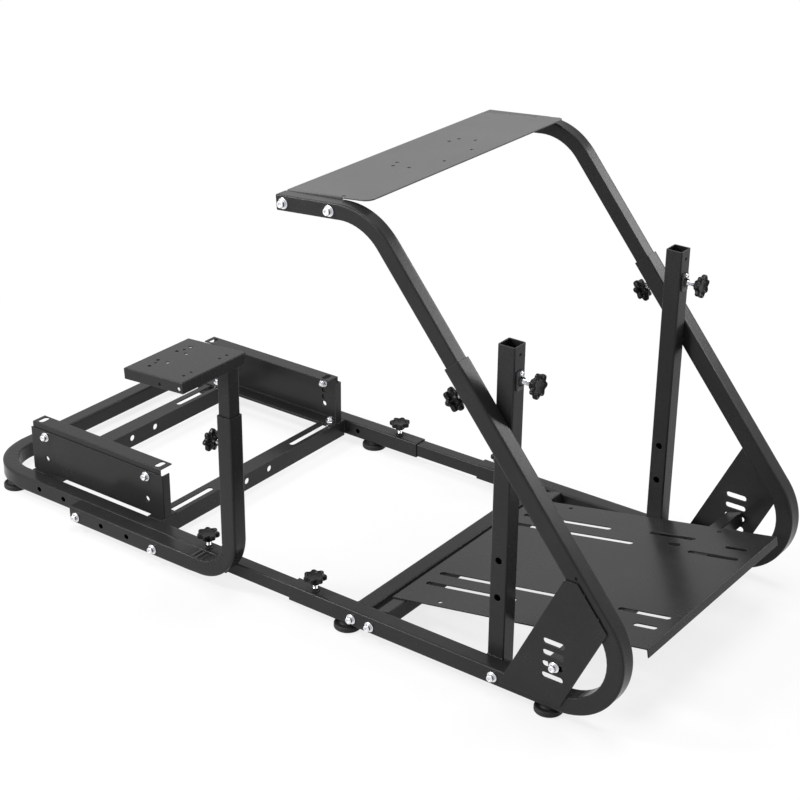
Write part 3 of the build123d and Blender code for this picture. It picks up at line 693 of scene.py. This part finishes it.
def clamp_screw(bm, place, axis, reach, lift):
    """Threaded stem from inside the tube up into the knob."""
    profile = [(-reach, 2.8), (-reach, 3.4)]
    z = -reach + 0.5
    while z < 12.6 + lift:
        profile += [(z, 3.95), (z + 0.55, 3.4)]
        z += 1.1
    turn_round(bm, profile, 24, place, axis)


def weld_nut(bm, place, axis, twist):
    """Painted nut welded round its foot."""
    wide = hexagon(NUT_FLATS)
    rings = [
        (0.0, [r + 1.7 for r in wide]), (0.6, [r + 1.3 for r in wide]),
        (1.3, [r + 0.35 for r in wide]), (1.8, wide), (3.3, wide),
        (4.0, [min(r, 6.7) for r in wide]), (4.0, [4.3] * STEPS), (3.1, [4.1] * STEPS),
    ]
    stack(bm, rings, place, axis, twist)


# For each clamp its knob, place, axis, the screw's reach into the tube and the knob's lift
height_spot = sleeve_end + under * TUBE / 2 - diagonal * SLEEVE_CLAMP_INSET
rear_clamps, front_clamps = [], []
for side, hand in SIDES:
    place = at(RAIL_CLAMP_X, hand * RAIL_Y, RAIL_TOP)
    rear_clamps.append((f"rail_knob_{side}", place, (0, 0, 1), 2.2, 0.0))
for side, hand in SIDES:
    place = at(height_spot.x, hand * RAIL_Y, height_spot.y)
    rear_clamps.append((f"height_knob_{side}", place, (under.x, 0, under.y), 2.2, 0.0))
for side, hand in SIDES:
    place = at(POST_CLAMP_X, hand * POST_CLAMP_Y, POST_CLAMP_Z)
    rear_clamps.append((f"post_knob_{side}", place, (1, 0, 0), 4.8, 6.0))
for side, hand in SIDES:
    place = at(LOOP_CLAMP_X, hand * RAIL_Y, RAIL_TOP)
    front_clamps.append((f"front_knob_{side}", place, (0, 0, 1), 2.2, 0.0))
place = at(SHIFTER_X - TUBE / 2, SHIFTER_ARM_Y, SHIFTER_CLAMP_Z)
front_clamps.append(("shifter_knob", place, (-1, 0, 0), 2.2, 2.0))

groups = (
    ("rear_frame", "rear_clamp_screws", rear_clamps),
    ("front_frame", "front_clamp_screws", front_clamps),
)
for body, screws, clamps in groups:
    stems, weld_nuts = bmesh.new(), bmesh.new()
    for k, (name, place, axis, reach, lift) in enumerate(clamps):
        bm = bmesh.new()
        knob(bm, place, axis, 0.37 * k + 0.15, lift)
        mesh = finish_mesh(bm, name, 38)
        add_piece(f"star_{name}", mesh, body, KNOB_PLASTIC, [name])
        clamp_screw(stems, place, axis, reach, lift)
        weld_nut(weld_nuts, place, axis, 0.2 * k)
    mesh = finish_mesh(stems, f"stems_{body}", 40)
    add_piece(f"stems_{body}", mesh, body, ZINC, [screws])
    mesh = finish_mesh(weld_nuts, f"nuts_{body}", 28)
    add_piece(f"weld_nuts_{body}", mesh, body, FRAME_COAT)

# ---------------------------------------------------------------- feet
# Height and radius, from the floor up and over the rim to the neck
FOOT = (
    (0.0, 0.4), (0.0, 20.6), (0.5, 22.2), (1.6, 23.2), (3.2, 23.5), (4.4, 23.3), (4.7, 22.9),
    (5.0, 23.3), (7.2, 23.4), (8.8, 22.9), (9.7, 21.8), (10.0, 20.2), (9.7, 18.6), (9.4, 17.0),
    (9.6, 15.2), (10.2, 13.8), (11.4, 13.1), (15.0, 12.9),
)
FEET = (
    ("rear_feet", "rear_frame", ((-44.0, RAIL_Y), (347.0, RAIL_Y))),
    ("front_feet", "front_frame", ((-843.0, 269.3), (-411.0, RAIL_Y))),
)
for name, body, spots in FEET:
    for side, hand in SIDES:
        bm = bmesh.new()
        for x, y in spots:
            turn_round(bm, FOOT, 48, at(x, hand * y, 0), (0, 0, 1))
        node_name = f"{name}_{side}"
        mesh = finish_mesh(bm, node_name, 50)
        add_piece(f"turned_{node_name}", mesh, body, FOOT_RUBBER, [node_name])

# ---------------------------------------------------------------- welds
BEAD_STEP, BEAD_SIDES = 0.7, 12
BEAD_ANGLE = 60


def weld(bm, start, end, radius, seed):
    """Rippled bead between two points of the frame."""
    run = end - start
    length = run.length * 1000
    count = max(4, round(length / BEAD_STEP))
    turned = frame_of(run)
    angles = [2 * pi * i / BEAD_SIDES for i in range(BEAD_SIDES)]
    rings = []
    for k in range(count + 1):
        s = k / count * length
        swell = 1 + 0.16 * sin(2 * pi * s / 2.6 + seed) + 0.08 * sin(s * 0.9 + 2 * seed)
        cap = min(1.0, (min(s, length - s) + 0.25) / (radius * 0.9)) ** 0.5
        sway = Vector((0.22 * radius * sin(0.55 * s + seed), 0.1 * radius * cos(0.4 * s), 0))
        centre = start + run * (k / count) + turned @ sway / 1000
        ring = []
        for angle in angles:
            way = turned @ Vector((cos(angle), sin(angle), 0))
            ring.append(bm.verts.new(centre + way * radius * swell * cap / 1000))
        rings.append(ring)
    bridge_all(bm, rings)
    bm.faces.new(rings[0][::-1])
    bm.faces.new(rings[-1])


def box_welds(bm, middle, half, radius, seed):
    """Beads round an upright square with its sides along X and Z."""
    u, v = Vector((1, 0, 0)) * half / 1000, Vector((0, 0, 1)) * half / 1000
    corners = [middle + u + v, middle - u + v, middle - u - v, middle + u - v]
    for k in range(4):
        weld(bm, corners[k], corners[(k + 1) % 4], radius, seed + k)


# Tacks on the gusset: run down the diagonal and length along its slanted edge; x along its foot
GUSSET_TACKS, GUSSET_TACK_DROP = ((356.0, 5.0), (384.0, 4.0), (424.0, 5.0)), 18.0
GUSSET_FOOT_TACKS_X, GUSSET_FOOT_TACK_Z, GUSSET_FOOT_TACK_LENGTH = (268.0, 300.0, 330.0), 27.2, 9.0

bm = bmesh.new()
for hand in (-1, 1):
    y = hand * RAIL_INNER_Y
    # Front cross tube against the rail
    box_welds(bm, at(-19.5, y, RAIL_Z), 14.2, 1.5, 1.0)
    # Post and lug on the rail's top and inner face
    weld(bm, at(221.6, y, 44.8), at(251.4, y, 44.8), 1.9, 0.4)
    weld(bm, at(221.6, y, 16.0), at(221.6, y, 44.6), 1.6, 1.7)
    weld(bm, at(252.0, hand * 256.5, 16.5), at(252.0, hand * 256.5, 44.5), 1.5, 2.2)
    y = hand * (HALF_WIDTH + 1.4)
    for back, long in GUSSET_TACKS:
        spot = sleeve_end + under * (TUBE / 2) - diagonal * back - under * GUSSET_TACK_DROP
        tip = spot - diagonal * long
        weld(bm, at(spot.x, y, spot.y), at(tip.x, y, tip.y), 1.5, back)
    y = hand * (HALF_WIDTH + 1.0)
    for x in GUSSET_FOOT_TACKS_X:
        start = at(x, y, GUSSET_FOOT_TACK_Z)
        weld(bm, start, at(x + GUSSET_FOOT_TACK_LENGTH, y, GUSSET_FOOT_TACK_Z), 1.3, x)
mesh = finish_mesh(bm, "welds_rear", BEAD_ANGLE)
add_piece("welds_rear_frame", mesh, "rear_frame", FRAME_COAT)

bm = bmesh.new()
for hand in (-1, 1):
    y = hand * RAIL_INNER_Y
    for x in CROSSBARS_X:
        # Along the crossbar's top edge and down its upright leg
        weld(bm, at(x - 18.0, y, 43.6), at(x + 13.0, y, 43.6), 1.4, x)
        weld(bm, at(x + 14.6, y, 15.6), at(x + 14.6, y, 42.6), 1.4, x + 1)
mesh = finish_mesh(bm, "welds_front", BEAD_ANGLE)
add_piece("welds_front_frame", mesh, "front_frame", FRAME_COAT)


def tray_under(x):
    """Height of the shifter tray's underside."""
    return TRAY_TOP - (TRAY_REAR_X - x) * tan(TRAY_TILT) - TRAY_SHEET


bm = bmesh.new()
for v in (1, -1):
    x = SHIFTER_X + v * SLIDE / 2
    z = tray_under(x)
    weld(bm, at(x, SHIFTER_ARM_Y - 11.5, z), at(x, SHIFTER_ARM_Y + 11.5, z), 1.4, v)
for v in (-1, 1):
    y = SHIFTER_ARM_Y + v * SLIDE / 2
    start, end = (at(x, y, tray_under(x)) for x in (SHIFTER_X - 11.5, SHIFTER_X + 11.5))
    weld(bm, start, end, 1.4, 3 + v)
mesh = finish_mesh(bm, "welds_shifter", BEAD_ANGLE)
add_piece("welds_shifter", mesh, "shifter", FRAME_COAT)

# ---------------------------------------------------------------- studio
WHITE = (1, 1, 1, 1)
HALF_FLOOR = 40

floor_mesh = bpy.data.meshes.new("floor")
floor_corners = [
    (HALF_FLOOR * x, HALF_FLOOR * y, 0) for x, y in ((-1, -1), (1, -1), (1, 1), (-1, 1))
]
floor_mesh.from_pydata(floor_corners, [], [(0, 1, 2, 3)])
floor_object = bpy.data.objects.new("floor", floor_mesh)
bpy.context.scene.collection.objects.link(floor_object)
floor_material, g = new_material("floor")
place = g.place()
tint = g.ramp(g.noise(place, 3.0, 3.0), ((0.3, grey(0.88)), (0.7, grey(0.91))))
lit = g.add("ShaderNodeBsdfDiffuse", {"Color": tint})
glow = g.add("ShaderNodeEmission", {"Color": WHITE, "Strength": 1.0})
# Wholly white from about 1.5 m out; nearer in a share stays lit and keeps the object's shadow
away = g.add("ShaderNodeVectorMath", {0: place}, operation="LENGTH").outputs["Value"]
glow_share = g.ramp(g.math("MULTIPLY", away, 0.25), ((0.16, grey(0.80)), (0.38, grey(1.0))), "EASE")
share = g.math("MULTIPLY", g.seen_white(), glow_share)
mixed = g.add("ShaderNodeMixShader", {0: share, 1: lit.outputs[0], 2: glow.outputs[0]})
g.add("ShaderNodeOutputMaterial", {"Surface": mixed.outputs[0]})
floor_mesh.materials.append(floor_material)

# Soft light from all round, and white where the world is seen or mirrored
world = bpy.data.worlds.new("studio")
bpy.context.scene.world = world
world.use_nodes = True
g = Graph(world.node_tree)
soft = g.add("ShaderNodeBackground", {"Color": WHITE, "Strength": 0.22})
white = g.add("ShaderNodeBackground", {"Color": WHITE, "Strength": 1.0})
mixed = g.add("ShaderNodeMixShader", {0: g.seen_white(), 1: soft.outputs[0], 2: white.outputs[0]})
g.add("ShaderNodeOutputWorld", {"Surface": mixed.outputs[0]})

# Name, place, aim, width, height and watts: from the left front, low; above on the left, seen in
# the upper edges; over the top; behind on the right, seen in the slanted tubes
LAMPS = (
    ("front_light", (-1.9, -3.7, 1.3), (-0.1, 0.0, 0.3), 2.0, 1.2, 105),
    ("edge_light", (-2.3, -1.9, 2.95), (0.0, 0.0, 0.3), 0.9, 0.7, 80),
    ("top_light", (0.2, 0.4, 4.2), (0.1, 0.0, 0.2), 2.2, 2.2, 105),
    ("back_light", (1.77, 2.41, 1.78), (0.35, 0.05, 0.5), 1.3, 0.8, 30),
)
for name, place, aim, width, height, watts in LAMPS:
    data = bpy.data.lights.new(name, "AREA")
    data.shape, data.size, data.size_y, data.energy = "RECTANGLE", width, height, watts
    lamp = bpy.data.objects.new(name, data)
    bpy.context.scene.collection.objects.link(lamp)
    turned = (Vector(aim) - Vector(place)).to_track_quat("-Z", "Y").to_matrix()
    lamp.matrix_world = Matrix.Translation(place) @ turned.to_4x4()

bpy.context.scene.view_settings.view_transform = "Standard"
